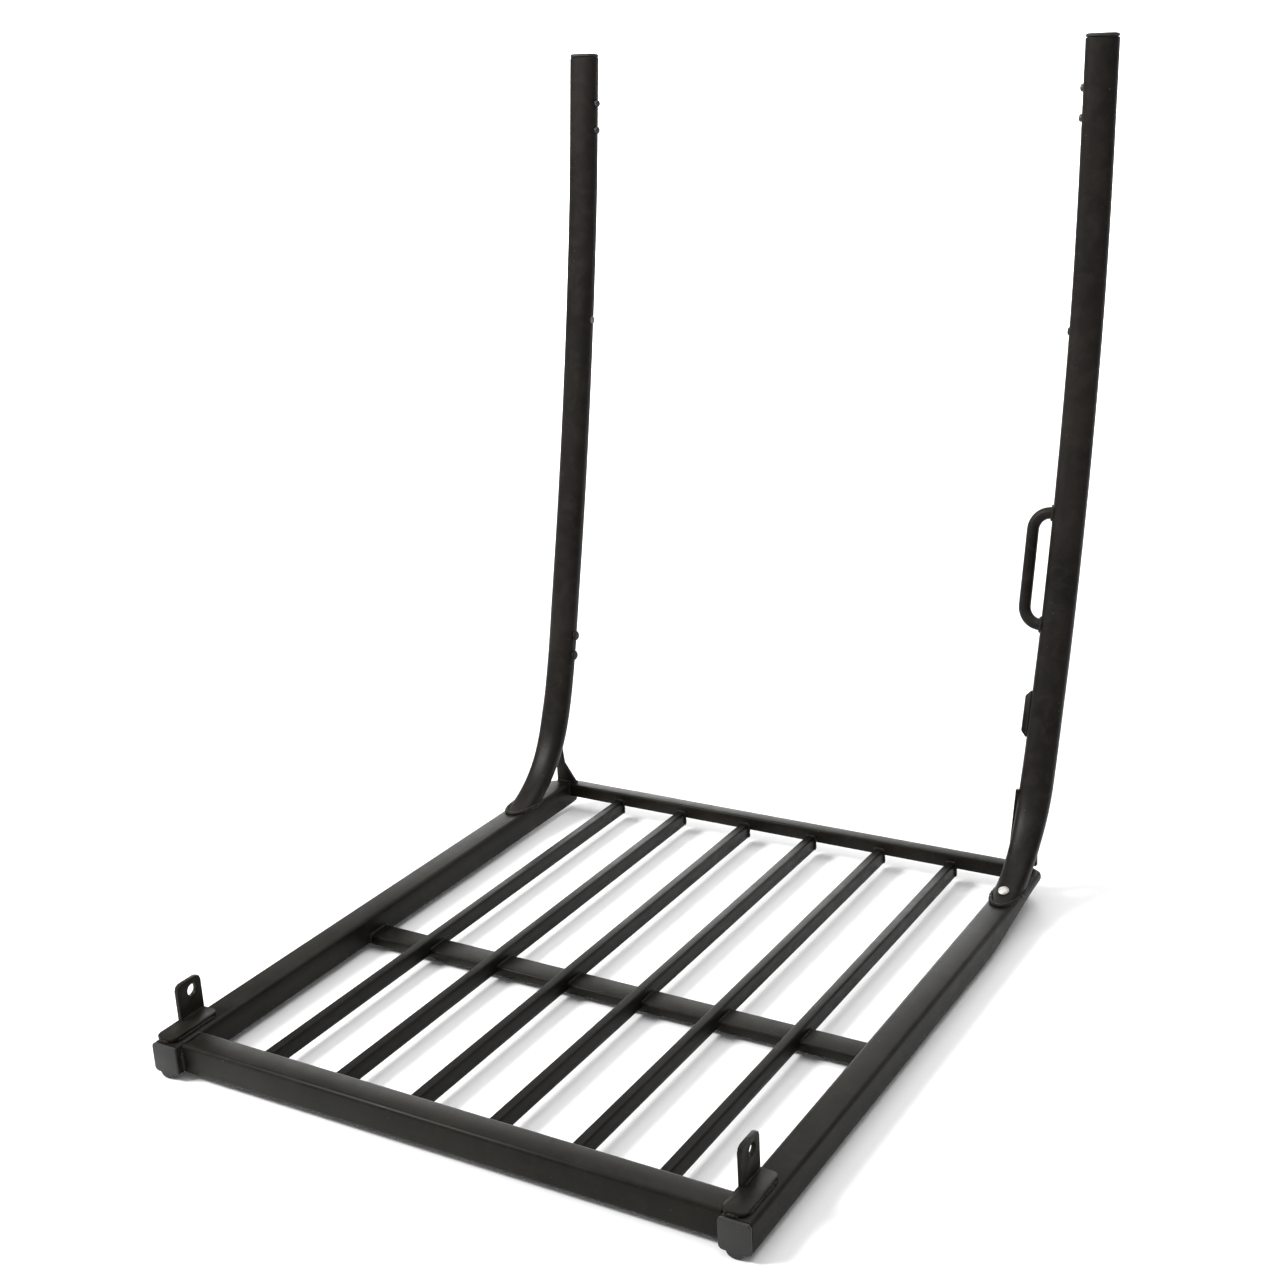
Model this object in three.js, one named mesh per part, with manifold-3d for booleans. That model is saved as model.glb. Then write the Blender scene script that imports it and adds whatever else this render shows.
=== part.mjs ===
// Climbing tree stand: a welded steel foot platform (two square side rails, a front bar,
// two crossbars and six slats) with a pair of tall oval uprights that curve up from the
// back of the rails. Millimetres, +Z up, +Y towards the uprights, +X to the right when
// the uprights are faced from the open front of the platform.
import * as THREE from 'three';
import { mergeVertices } from 'three/addons/utils/BufferGeometryUtils.js';
import Module from 'manifold-3d';

const wasm = await Module();
wasm.setup();

// ---------------------------------------------------------------- driving dimensions
// heights are from the middle plane of the slats until the origin is set at the end
const GAP = 0.3;                      // clearance kept between touching pieces
const RAIL = 25.4;                    // square side rail and front bar, outside
const RAIL_R = 3.6;                   // corner radius of the square tube
const WALL = 1.6;                     // tube wall
const RAIL_X = 257.8;                 // rail centre line from the middle of the stand
const RAIL_Z = 2.3;                   // rail centre height
const RAIL_Y = [-48, 549];            // cut ends of the rails, at the inner side
const RAIL_SKEW = 16;                 // the outer side of a rail's rear end stops this much sooner
const RAIL_PRESS = { y0: 390, y1: 543, rise: 16.6 }; // the outer lower corner rises towards the rear end
const CAP_T = 3;                      // thickness of the front cap's face
const LIP_W = 14, LIP_DROP = 4.5;     // tongue under the front cap
const FRONT_BAR_Y = -31.5;            // centre of the front bar
const SLAT_W = 9, SLAT_H = 15, SLAT_WALL = 1.2;
const SLAT_PITCH = 73, SLAT_COUNT = 6;
const MID_BAR = { y0: 196.7, y1: 221.0, z0: -10.4, z1: -1.6 };
const BACK_BAR = { y0: 536.4, y1: 550.4, z0: 1.1, z1: 15.0 };
const UP_W = 30, UP_T = 18, UP_R = 8; // upright tube: across the stand, front to back
const UP_X = 257.8;                   // upright centre line from the middle of the stand
// upright centre lines, [y, z] from the foot to the top
const UP_LEFT = [
  [438, 4.4], [463.6, 11], [487.3, 22.6], [505.5, 36.5], [520.1, 52.9], [530.3, 69.4],
  [538.4, 87.6], [545, 104.8], [557.3, 145.3], [572.3, 207], [596.4, 308.4],
  [617.9, 408.8], [636.9, 508.4], [653.4, 606.3], [671.2, 742.5],
];
const UP_RIGHT = [
  [447.1, 4.4], [472.7, 11], [496.4, 21.9], [514.7, 34.7], [529.5, 49.2], [541.5, 64.6],
  [551, 81.5], [558.6, 99], [570.5, 130.3], [583, 165.4], [601.2, 217.2], [617.6, 270.8],
  [636.9, 340.9], [657.4, 429.2], [673.8, 516.8], [684.9, 603.3], [690.9, 671.6],
  [696.4, 740.3],
];
const UP_STEPS = 40;
const EAR = { y0: -20, y1: 7, t: 3.8, top: 35, hole: 5, holeShift: 2.5, holeDrop: 10.3 };
const EAR_PAD = { y0: -46.5, w: 19, t: 3.6 };
const UP_FOOT = { z0: 16, z1: 95, keep: 25 / 30 };  // the upright narrows to the rail's width at its foot
const FOOT_BOLT = { z: 12.5, x: 256.6, r: 5 }; // fastener on top of the right upright's foot
const LOOP = { z0: 224, z1: 334, rod: 11.2, reach: 17.6, bend: 16 };
const TAB = { z0: 130, z1: 173, proud: 5.6, t: 6, lead: 5 };
const BUTTON_Z = [673.5, 699];        // heights of the two snap buttons
const BUTTON_R = 3.6, BUTTON_PROUD = 2.8, BUTTON_TRAVEL = 2.8;
const BOLT_Z = [152, 172];            // bolts in the inner side of the left upright
const RIVET_Z = 489;                  // rivet at mid height

// ---------------------------------------------------------------- colours
const STEEL = { color: 0x2b2822, roughness: 0.52, metalness: 0.35 };
const PLASTIC = { color: 0x111110, roughness: 0.6, metalness: 0.0 };
const ZINC = { color: 0x8f8c86, roughness: 0.35, metalness: 0.9 };
const SPRING = { color: 0x55534e, roughness: 0.35, metalness: 0.9 };

const group = new THREE.Group();
group.name = 'climbing_tree_stand';

// ---------------------------------------------------------------- helpers
function clean(geometry) {
  const g = geometry.index ? geometry.toNonIndexed() : geometry;
  const bare = new THREE.BufferGeometry();
  bare.setAttribute('position', g.getAttribute('position').clone());
  return mergeVertices(bare, 1e-4);
}
function toManifold(geometry) {
  const g = clean(geometry);
  return new wasm.Manifold(new wasm.Mesh({
    numProp: 3,
    vertProperties: new Float32Array(g.getAttribute('position').array),
    triVerts: new Uint32Array(g.index.array),
  }));
}
function fromManifold(m) {
  const mesh = m.getMesh();
  const g = new THREE.BufferGeometry();
  const n = mesh.vertProperties.length / mesh.numProp;
  const p = new Float32Array(n * 3);
  for (let i = 0; i < n; i++) {
    for (let k = 0; k < 3; k++) p[i * 3 + k] = mesh.vertProperties[i * mesh.numProp + k];
  }
  g.setAttribute('position', new THREE.BufferAttribute(p, 3));
  g.setIndex(new THREE.BufferAttribute(new Uint32Array(mesh.triVerts), 1));
  g.computeVertexNormals();
  return g;
}
function mirrorX(geometry) {
  const g = clean(geometry);
  const p = g.getAttribute('position');
  for (let i = 0; i < p.count; i++) p.setX(i, -p.getX(i));
  const ix = g.index.array;
  for (let i = 0; i < ix.length; i += 3) {
    const t = ix[i];
    ix[i] = ix[i + 1];
    ix[i + 1] = t;
  }
  g.computeVertexNormals();
  return g;
}
function add(name, geometry, look) {
  const mesh = new THREE.Mesh(geometry, new THREE.MeshStandardMaterial(look));
  mesh.name = name;
  group.add(mesh);
}
function ringPoints(w, h, r, seg) {
  const pts = [];
  for (const [x, y, a0] of [[1, 1, 0], [-1, 1, 90], [-1, -1, 180], [1, -1, 270]]) {
    for (let i = 0; i <= seg; i++) {
      const a = THREE.MathUtils.degToRad(a0 + (90 * i) / seg);
      pts.push(new THREE.Vector2(x * (w / 2 - r) + r * Math.cos(a), y * (h / 2 - r) + r * Math.sin(a)));
    }
  }
  return pts;
}
const solidRing = (w, h, r, seg = 3) => new THREE.Shape(ringPoints(w, h, r, seg));
function tubeRing(w, h, r, wall, seg = 3) {
  const s = solidRing(w, h, r, seg);
  s.holes.push(new THREE.Path(ringPoints(w - 2 * wall, h - 2 * wall, Math.max(r - wall, 0.5), seg)));
  return s;
}
function circle(cx, cy, r, n = 24) {
  const pts = [];
  for (let i = 0; i < n; i++) {
    const a = (2 * Math.PI * i) / n;
    pts.push(new THREE.Vector2(cx + r * Math.cos(a), cy + r * Math.sin(a)));
  }
  return new THREE.Path(pts);
}
const flat = (shape, depth, opts = {}) => new THREE.ExtrudeGeometry(shape, { depth, bevelEnabled: false, ...opts });
// local x, y, z of an extrusion -> world axes
function place(g, ex, ey, ez, o) {
  g.applyMatrix4(new THREE.Matrix4().makeBasis(new THREE.Vector3(...ex), new THREE.Vector3(...ey), new THREE.Vector3(...ez)).setPosition(...o));
  return g;
}
// bar along +Y: outline x -> -X, outline y -> Z
const barY = (shape, y0, y1, x, z) => place(flat(shape, y1 - y0), [-1, 0, 0], [0, 0, 1], [0, 1, 0], [x, y0, z]);
// bar along +X: outline x -> Y, outline y -> Z
const barX = (shape, x0, x1, y, z) => place(flat(shape, x1 - x0), [0, 1, 0], [0, 0, 1], [1, 0, 0], [x0, y, z]);
const drawn = (pts, holes) => {
  const s = new THREE.Shape(pts.map(([a, b]) => new THREE.Vector2(a, b)));
  s.holes.push(...holes);
  return s;
};
// plate drawn in (Y, Z), t thick along +X from x0
const plateYZ = (pts, x0, t, holes = []) => place(flat(drawn(pts, holes), t), [0, 1, 0], [0, 0, 1], [1, 0, 0], [x0, 0, 0]);
// plate drawn in (X, Z), t thick along -Y, back face at y1
const plateXZ = (pts, y1, t, holes = []) => place(flat(drawn(pts, holes), t), [1, 0, 0], [0, 0, 1], [0, -1, 0], [0, y1, 0]);
// plate drawn in (X, Y), t thick along +Z from z0
const plateXY = (pts, z0, t) => place(flat(drawn(pts, []), t), [1, 0, 0], [0, 1, 0], [0, 0, 1], [0, 0, z0]);
function box(x0, x1, y0, y1, z0, z1) {
  const g = new THREE.BoxGeometry(x1 - x0, y1 - y0, z1 - z0);
  g.translate((x0 + x1) / 2, (y0 + y1) / 2, (z0 + z1) / 2);
  return g;
}
// turned piece on an axis that points towards the middle of the stand (-X)
function turned(profile, x, y, z, n = 20) {
  const g = new THREE.LatheGeometry(profile.map(([r, h]) => new THREE.Vector2(r, h)), n);
  g.rotateZ(Math.PI / 2);
  g.translate(x, y, z);
  return fromManifold(toManifold(g));
}
function biggest(m) {
  const parts = m.decompose();
  parts.sort((a, b) => b.volume() - a.volume());
  return parts[0];
}

const railTop = RAIL_Z + RAIL / 2;
const railBottom = RAIL_Z - RAIL / 2;
const railIn = RAIL_X - RAIL / 2;
const railOut = RAIL_X + RAIL / 2;

// the outer lower corner of a rail rises towards the rear end; the top and the inner side keep
// their shape and the wall keeps its thickness
function press(g) {
  const p = g.getAttribute('position');
  for (let i = 0; i < p.count; i++) {
    if (p.getZ(i) < RAIL_Z && p.getX(i) > RAIL_X) p.setZ(i, p.getZ(i) + RAIL_PRESS.rise * THREE.MathUtils.smoothstep(p.getY(i), RAIL_PRESS.y0, RAIL_PRESS.y1));
  }
  return g;
}
// the oval tube narrows towards its foot
function narrow(g) {
  const p = g.getAttribute('position');
  for (let i = 0; i < p.count; i++) {
    const t = 1 - THREE.MathUtils.smoothstep(p.getZ(i), UP_FOOT.z0, UP_FOOT.z1);
    p.setX(i, p.getX(i) * (1 - (1 - UP_FOOT.keep) * t));
  }
  return g;
}

// each upright has its own bend
function makeSide(name, line) {
  const curve = new THREE.CatmullRomCurve3(line.map(([y, z]) => new THREE.Vector3(0, y, z)), false, 'centripetal');
  const pts = curve.getSpacedPoints(300);
  const at = (z) => {
    let i = 1;
    while (i < pts.length - 1 && pts[i].z < z) i++;
    const a = pts[i - 1], b = pts[i];
    const k = (z - a.z) / (b.z - a.z);
    return { y: a.y + (b.y - a.y) * k, z, lean: Math.atan2(b.y - a.y, b.z - a.z) };
  };
  const sweep = (shape) => narrow(new THREE.ExtrudeGeometry(shape, { steps: UP_STEPS, bevelEnabled: false, extrudePath: curve }));
  const keepOut = toManifold(sweep(solidRing(UP_W + 2 * GAP, UP_T + 2 * GAP, UP_R + GAP, 3))).translate([UP_X, 0, 0]);
  const flip = (g) => (name === 'left' ? mirrorX(g) : g);
  return { name, pts, at, sweep, keepOut, flip };
}
const RIGHT = makeSide('right', UP_RIGHT);
const LEFT = makeSide('left', UP_LEFT);
const SIDES = [LEFT, RIGHT];
// turns a piece made upright about the origin to lie along the upright at height z
const seat = (m, side, z) => {
  const c = side.at(z);
  return m.rotate([-THREE.MathUtils.radToDeg(c.lean), 0, 0]).translate([0, c.y, c.z]);
};

// ---------------------------------------------------------------- side rails and their ends
for (const side of SIDES) {
  const rear = (x, off = 0) => RAIL_Y[1] - (RAIL_SKEW * (x - railIn)) / RAIL + off;
  const xa = railIn - 6, xb = railOut + 6;
  // slice between two planes parallel to the rail's skew rear cut
  const slab = (off0, off1) => toManifold(plateXY([[xa, rear(xa, off0)], [xb, rear(xb, off0)], [xb, rear(xb, off1)], [xa, rear(xa, off1)]], -60, 120));
  // one straight length up to the press, then short steps through it
  const steps = 14;
  const drawnRail = place(flat(tubeRing(RAIL, RAIL, RAIL_R, WALL, 3), 1, { steps }), [-1, 0, 0], [0, 0, 1], [0, 1, 0], [RAIL_X, 0, RAIL_Z]);
  const rp = drawnRail.getAttribute('position');
  for (let i = 0; i < rp.count; i++) {
    const u = rp.getY(i) * steps;
    rp.setY(i, u < 1.0001 ? RAIL_Y[0] + u * (RAIL_PRESS.y0 - RAIL_Y[0]) : RAIL_PRESS.y0 + ((u - 1) / (steps - 1)) * (560 - RAIL_PRESS.y0));
  }
  const rail = press(drawnRail);
  add(`side_rail_${side.name}`, side.flip(fromManifold(toManifold(rail).intersect(slab(-900, 0)))), STEEL);

  // front cap: a face plate with a tongue that hangs below the rail, on a shank that fills
  // the tube's mouth
  const inside = RAIL - 2 * WALL - 2 * GAP;
  const face = toManifold(place(flat(solidRing(RAIL - 1.6, RAIL - 1.6, RAIL_R - 0.8, 3), CAP_T - 1.6, { bevelEnabled: true, bevelSize: 0.8, bevelThickness: 0.8, bevelSegments: 2 }),
    [1, 0, 0], [0, 0, 1], [0, -1, 0], [RAIL_X, RAIL_Y[0] - GAP - 0.8, RAIL_Z]));
  const shank = toManifold(barY(solidRing(inside, inside, RAIL_R - WALL, 3), RAIL_Y[0] - GAP - 1.5, RAIL_Y[0] + 12, RAIL_X, RAIL_Z));
  const lip = [[RAIL_X - LIP_W / 2, railBottom + 3], [RAIL_X - LIP_W / 2, railBottom]];
  for (let i = 1; i <= 7; i++) {
    const a = Math.PI + (Math.PI * i) / 8;
    lip.push([RAIL_X + (LIP_W / 2 - 0.6) * Math.cos(a), railBottom + LIP_DROP * Math.sin(a)]);
  }
  lip.push([RAIL_X + LIP_W / 2, railBottom], [RAIL_X + LIP_W / 2, railBottom + 3]);
  const tongue = toManifold(plateXZ(lip, RAIL_Y[0] - GAP - 0.5, CAP_T - 1));
  add(`front_cap_${side.name}`, side.flip(fromManifold(face.add(shank).add(tongue))), PLASTIC);

  // rear plug: thin flange and shank, shaped to the pressed and skewed end
  const long = (w, r) => toManifold(press(place(flat(solidRing(w, w, r, 3), 200, { steps: 20 }), [-1, 0, 0], [0, 0, 1], [0, 1, 0], [RAIL_X, 400, RAIL_Z])));
  const flange = long(RAIL - 0.4, RAIL_R - 0.2).intersect(slab(GAP, GAP + 1.7));
  const rearShank = long(inside - 1.6, RAIL_R - WALL).translate([0, 0, 0.5]).intersect(slab(-11, GAP + 1));
  add(`rear_plug_${side.name}`, side.flip(fromManifold(flange.add(rearShank))), PLASTIC);
}

// ---------------------------------------------------------------- bars and slats
const barHalf = railIn - GAP;
add('front_bar', barX(tubeRing(RAIL, RAIL, RAIL_R, WALL, 3), -barHalf, barHalf, FRONT_BAR_Y, RAIL_Z), STEEL);
const crossbar = (b, r) => barX(tubeRing(b.y1 - b.y0, b.z1 - b.z0, r, WALL, 3), -barHalf, barHalf, (b.y0 + b.y1) / 2, (b.z0 + b.z1) / 2);
add('mid_crossbar', crossbar(MID_BAR, 1.8), STEEL);
add('back_crossbar', crossbar(BACK_BAR, 2), STEEL);

// each slat runs from the front bar to the back crossbar, notched over the mid crossbar
for (let i = 0; i < SLAT_COUNT; i++) {
  const x = (i - (SLAT_COUNT - 1) / 2) * SLAT_PITCH;
  const bar = toManifold(barY(tubeRing(SLAT_W, SLAT_H, 1.8, SLAT_WALL, 3), FRONT_BAR_Y + RAIL / 2 + GAP, BACK_BAR.y0 - GAP, x, 0));
  const notch = toManifold(box(x - 12, x + 12, MID_BAR.y0 - GAP, MID_BAR.y1 + GAP, -40, MID_BAR.z1 + GAP));
  add(`slat_${i + 1}`, fromManifold(bar.subtract(notch)), STEEL);
}

// ---------------------------------------------------------------- fastener on the right foot
// a low domed head on a short shank, square to the foot's sloping upper side
function onFoot(g) {
  const c = RIGHT.at(FOOT_BOLT.z);
  g.rotateX(Math.PI - c.lean);
  g.translate(FOOT_BOLT.x, c.y, c.z);
  return toManifold(g);
}
{
  const R = FOOT_BOLT.r, w = UP_T / 2;
  const head = new THREE.LatheGeometry([[0, -1], [R, -1], [R, 0.9], [R - 1.1, 1.8], [R - 2.6, 2.3], [0, 2.5]].map(([r, h]) => new THREE.Vector2(r, h + w)), 20);
  const shank = new THREE.CylinderGeometry(2.6, 2.6, 6.4, 20);
  shank.translate(0, w - 1.4, 0);
  const top = biggest(onFoot(head).subtract(RIGHT.keepOut));
  add('foot_bolt_right', fromManifold(top.add(onFoot(shank))), ZINC);
}

// ---------------------------------------------------------------- uprights
for (const side of SIDES) {
  let m = toManifold(side.sweep(tubeRing(UP_W, UP_T, UP_R, WALL, 3))).translate([UP_X, 0, 0]);
  m = m.subtract(toManifold(box(200, 330, 400, 620, -60, railTop + GAP)));
  const drill = (z, r) => {
    const c = side.at(z);
    const h = new THREE.CylinderGeometry(r, r, 12, 20);
    h.rotateZ(Math.PI / 2);
    h.translate(UP_X - UP_W / 2, c.y, c.z);
    m = m.subtract(toManifold(h));
  };
  for (const z of BUTTON_Z) drill(z, BUTTON_R + 0.3);
  if (side === LEFT) for (const z of BOLT_Z) drill(z, 2.5 + 0.25);
  drill(RIVET_Z, 2.2 + 0.25);
  if (side === RIGHT) {
    const h = new THREE.CylinderGeometry(2.9, 2.9, 9, 20);
    h.translate(0, UP_T / 2, 0);
    m = m.subtract(onFoot(h));
  }
  add(`upright_${side.name}`, side.flip(fromManifold(m)), STEEL);

  // plug in the top of the tube: low domed head on a short shank
  const end = side.pts[side.pts.length - 1], prev = side.pts[side.pts.length - 2];
  const lean = THREE.MathUtils.radToDeg(Math.atan2(end.y - prev.y, end.z - prev.z));
  const shank = toManifold(flat(solidRing(UP_W - 2 * WALL - 2 * GAP, UP_T - 2 * WALL - 2 * GAP, UP_R - WALL - GAP, 4), 15)).translate([0, 0, -13]);
  const head = toManifold(flat(solidRing(UP_W - 4, UP_T - 4, UP_R - 2, 4), 0.7, { bevelEnabled: true, bevelSize: 1.7, bevelThickness: 1.4, bevelSegments: 3 })).translate([0, 0, GAP + 1.4]);
  const plug = shank.add(head).rotate([-lean, 0, 0]).translate([UP_X, end.y, end.z]);
  add(`upright_plug_${side.name}`, side.flip(fromManifold(plug)), PLASTIC);
}

// ---------------------------------------------------------------- front ears
// a pierced ear on a flat foot, one on each rail near its front end; both stand on the
// left edge of their rail, so the pair is not mirrored
{
  const { y0, y1, t, top, hole, holeShift, holeDrop } = EAR, z0 = railTop + GAP, z1 = railTop + top, c = 5;
  for (const [name, edge] of [['left', -railOut], ['right', railIn]]) {
    const x0 = edge + 0.2, w = EAR_PAD.w, p0 = EAR_PAD.y0, q = 5;
    const pts = [[y0, z0], [y1, z0], [y1, z1 - c], [y1 - 1.5, z1 - 1.5], [y1 - c, z1], [y0 + c, z1], [y0 + 1.5, z1 - 1.5], [y0, z1 - c]];
    const ear = toManifold(plateYZ(pts, x0, t, [circle((y0 + y1) / 2 + holeShift, z1 - holeDrop, hole)]));
    const foot = [[x0, y1], [x0, p0 + q], [x0 + 1.5, p0 + 1.5], [x0 + q, p0], [x0 + w - q, p0], [x0 + w - 1.5, p0 + 1.5], [x0 + w, p0 + q], [x0 + w, y1 - q], [x0 + w - 1.5, y1 - 1.5], [x0 + w - q, y1]];
    add(`front_ear_${name}`, fromManifold(ear.add(toManifold(plateXY(foot, z0, EAR_PAD.t)))), STEEL);
  }
}

// ---------------------------------------------------------------- back corner gussets
// thin plates that stand on the back crossbar and the rail and run up to the upright; the
// right one is taller and is relieved above the crossbar
{
  const t = 3.4, z0 = railTop + GAP;
  const left = [[239, z0], [262, z0], [262, 70], [257, 70], [253, 36]];
  const right = [[243.4, z0], [262, z0], [262, 88], [241.2, 88], [236.2, 34.5], [236.6, 32.4], [239.5, 31.2], [242.3, 28.5]];
  add('corner_gusset_left', mirrorX(fromManifold(biggest(toManifold(plateXZ(left, 544.5, t)).subtract(LEFT.keepOut)))), STEEL);
  add('corner_gusset_right', fromManifold(biggest(toManifold(plateXZ(right, 549.5, t)).subtract(RIGHT.keepOut))), STEEL);
}

// ---------------------------------------------------------------- strap loop and stop tab
{
  const { z0, z1, rod, reach, bend } = LOOP;
  const at = (z, d) => new THREE.Vector3(UP_X - UP_W / 2 - d, RIGHT.at(z).y, z);
  const a = z0 + rod / 2, b = z1 - rod / 2;
  const path = new THREE.CurvePath();
  path.add(new THREE.LineCurve3(at(b, -3), at(b, reach - bend)));
  path.add(new THREE.QuadraticBezierCurve3(at(b, reach - bend), at(b, reach), at(b - bend, reach)));
  path.add(new THREE.LineCurve3(at(b - bend, reach), at(a + bend, reach)));
  path.add(new THREE.QuadraticBezierCurve3(at(a + bend, reach), at(a, reach), at(a, reach - bend)));
  path.add(new THREE.LineCurve3(at(a, reach - bend), at(a, -3)));
  const smooth = new THREE.CatmullRomCurve3(path.getSpacedPoints(40), false, 'centripetal');
  const section = new THREE.Shape(circle(0, 0, rod / 2, 12).getPoints());
  const loop = toManifold(new THREE.ExtrudeGeometry(section, { steps: 34, bevelEnabled: false, extrudePath: smooth }));
  add('strap_loop', fromManifold(biggest(loop.subtract(RIGHT.keepOut))), STEEL);

  // stop tab: a flat bar on edge with chamfered ends
  const h = (TAB.z1 - TAB.z0) / 2, xi = UP_X - UP_W / 2, xo = xi - TAB.proud;
  const outline = [[xi + 3, -h], [xi + 3, h], [xi - 1, h], [xo, h - TAB.lead], [xo, -h + TAB.lead], [xi - 1, -h]];
  const tab = seat(toManifold(plateXZ(outline, TAB.t / 2, TAB.t)), RIGHT, (TAB.z0 + TAB.z1) / 2);
  add('stop_tab', fromManifold(biggest(tab.subtract(RIGHT.keepOut))), STEEL);
}

// ---------------------------------------------------------------- bolts and rivets
// low pan-head bolts in the left upright and one blind rivet in each upright
for (const side of SIDES) {
  const xi = UP_X - UP_W / 2;
  if (side === LEFT) {
    BOLT_Z.forEach((z, i) => add(`bolt_left_${i + 1}`, side.flip(turned(
      [[0, 0], [2.5, 0], [2.5, WALL + 3 + GAP], [5, WALL + 3 + GAP], [5, WALL + 4.2 + GAP], [3.8, WALL + 5.2 + GAP], [0, WALL + 5.6 + GAP]],
      xi + WALL + 3, side.at(z).y, z)), ZINC));
  }
  add(`rivet_${side.name}`, side.flip(turned(
    [[0, 0], [2.2, 0], [2.2, WALL + 3 + GAP], [4, WALL + 3 + GAP], [3.6, WALL + 3.8 + GAP], [2, WALL + 4.3 + GAP], [0, WALL + 4.4 + GAP]],
    xi + WALL + 3, side.at(RIVET_Z).y, RIVET_Z, 16)), ZINC);
}

// ---------------------------------------------------------------- snap button clips
// two round-nosed buttons on a flat carrier inside each upright; a bowed leaf spring behind
// the carrier is drawn at the shape it has when the buttons are fully pressed
for (const side of SIDES) {
  const wallIn = UP_X - UP_W / 2 + WALL;
  BUTTON_Z.forEach((z, i) => {
    const L = WALL + BUTTON_PROUD + 0.4;
    add(`snap_button_${side.name}_${i + 1}`, side.flip(turned(
      [[0, 0], [BUTTON_R, 0], [BUTTON_R, L - 1.5], [BUTTON_R - 0.5, L - 0.6], [BUTTON_R - 1.5, L - 0.1], [0, L]],
      wallIn + 0.4, side.at(z).y, z)), ZINC);
  });
  const mid = (BUTTON_Z[0] + BUTTON_Z[1]) / 2, half = (BUTTON_Z[1] - BUTTON_Z[0]) / 2 + 8;
  const c0 = wallIn + 0.4 + GAP, T = 1.4;
  add(`button_carrier_${side.name}`, side.flip(fromManifold(seat(toManifold(box(c0, c0 + T, -3.4, 3.4, -half, half)), side, mid))), SPRING);
  const s0 = c0 + T + BUTTON_TRAVEL + GAP, s1 = UP_X + UP_W / 2 - WALL - GAP - 0.8;
  const bow = [];
  for (let i = 0; i <= 12; i++) {
    const k = -1 + i / 6;
    bow.push([s0 + (s1 - s0) * k * k, (half - 2) * k]);
  }
  const outline = [...bow, ...bow.slice().reverse().map(([x, z]) => [x + 0.8, z])];
  add(`leaf_spring_${side.name}`, side.flip(fromManifold(seat(toManifold(plateXZ(outline, 2.6, 5.2)), side, mid))), SPRING);
}

// ---------------------------------------------------------------- origin
// bottom centre of the whole stand
group.updateMatrixWorld(true);
const all = new THREE.Box3().setFromObject(group);
group.position.set(-(all.min.x + all.max.x) / 2, -(all.min.y + all.max.y) / 2, -all.min.z);
group.updateMatrixWorld(true);

export default group;
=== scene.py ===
import bpy
import bmesh
import math
import random
from mathutils import Matrix, Vector


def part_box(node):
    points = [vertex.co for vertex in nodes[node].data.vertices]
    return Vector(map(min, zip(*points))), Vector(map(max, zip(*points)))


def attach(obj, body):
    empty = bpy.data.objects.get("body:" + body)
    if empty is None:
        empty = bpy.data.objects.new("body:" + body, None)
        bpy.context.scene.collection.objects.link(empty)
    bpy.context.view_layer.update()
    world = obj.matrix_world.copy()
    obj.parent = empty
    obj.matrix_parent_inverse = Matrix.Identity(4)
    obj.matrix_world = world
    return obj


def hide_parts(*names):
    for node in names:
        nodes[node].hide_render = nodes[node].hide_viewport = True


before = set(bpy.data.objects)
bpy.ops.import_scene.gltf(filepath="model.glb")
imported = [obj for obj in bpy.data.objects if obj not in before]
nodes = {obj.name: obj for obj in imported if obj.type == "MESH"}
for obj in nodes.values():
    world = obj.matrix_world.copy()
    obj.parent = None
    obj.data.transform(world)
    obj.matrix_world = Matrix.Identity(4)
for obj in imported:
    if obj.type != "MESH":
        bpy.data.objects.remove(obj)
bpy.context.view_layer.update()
MM = 0.001
random.seed(11)

# ------------------------------------------------------------------ places, from the frame
rail_lo, rail_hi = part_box("side_rail_right")
RAIL_X = (rail_lo.x + rail_hi.x) / 2
RAIL_TOP = rail_hi.z
RAIL_IN, RAIL_OUT = rail_lo.x, rail_hi.x
DY = rail_lo.y + 48 * MM          # row frame minus drawing frame
DZ = rail_hi.z - 15 * MM


def P(x, y, z):
    """A point given in the drawing's millimetres, in the row frame."""
    return Vector((x * MM, y * MM + DY, z * MM + DZ))


# ------------------------------------------------------------------ node helpers
def new_material(name):
    m = bpy.data.materials.new(name)
    m.use_nodes = True
    nt = m.node_tree
    for n in list(nt.nodes):
        nt.nodes.remove(n)
    out = nt.nodes.new("ShaderNodeOutputMaterial")
    bsdf = nt.nodes.new("ShaderNodeBsdfPrincipled")
    nt.links.new(bsdf.outputs[0], out.inputs[0])
    return m, nt, bsdf


def noise(nt, vec, scale, detail=3.0, rough=0.55, distortion=0.0):
    n = nt.nodes.new("ShaderNodeTexNoise")
    n.inputs["Scale"].default_value = scale
    n.inputs["Detail"].default_value = detail
    n.inputs["Roughness"].default_value = rough
    n.inputs["Distortion"].default_value = distortion
    nt.links.new(vec, n.inputs["Vector"])
    return n.outputs["Fac"]


def ramp(nt, fac, stops):
    r = nt.nodes.new("ShaderNodeValToRGB")
    e = r.color_ramp.elements
    while len(e) < len(stops):
        e.new(0.5)
    for k, (p, c) in zip(e, stops):
        k.position = p
        k.color = (*c, 1) if len(c) == 3 else c
    nt.links.new(fac, r.inputs[0])
    return r.outputs[0]


def mix(nt, fac, a, b, mode="MIX"):
    n = nt.nodes.new("ShaderNodeMix")
    n.data_type = "RGBA"
    n.blend_type = mode
    for sock, v in ((n.inputs[0], fac), (n.inputs[6], a), (n.inputs[7], b)):
        if isinstance(v, (int, float)):
            sock.default_value = v
        elif isinstance(v, tuple):
            sock.default_value = (*v, 1)
        else:
            nt.links.new(v, sock)
    return n.outputs[2]


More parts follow.
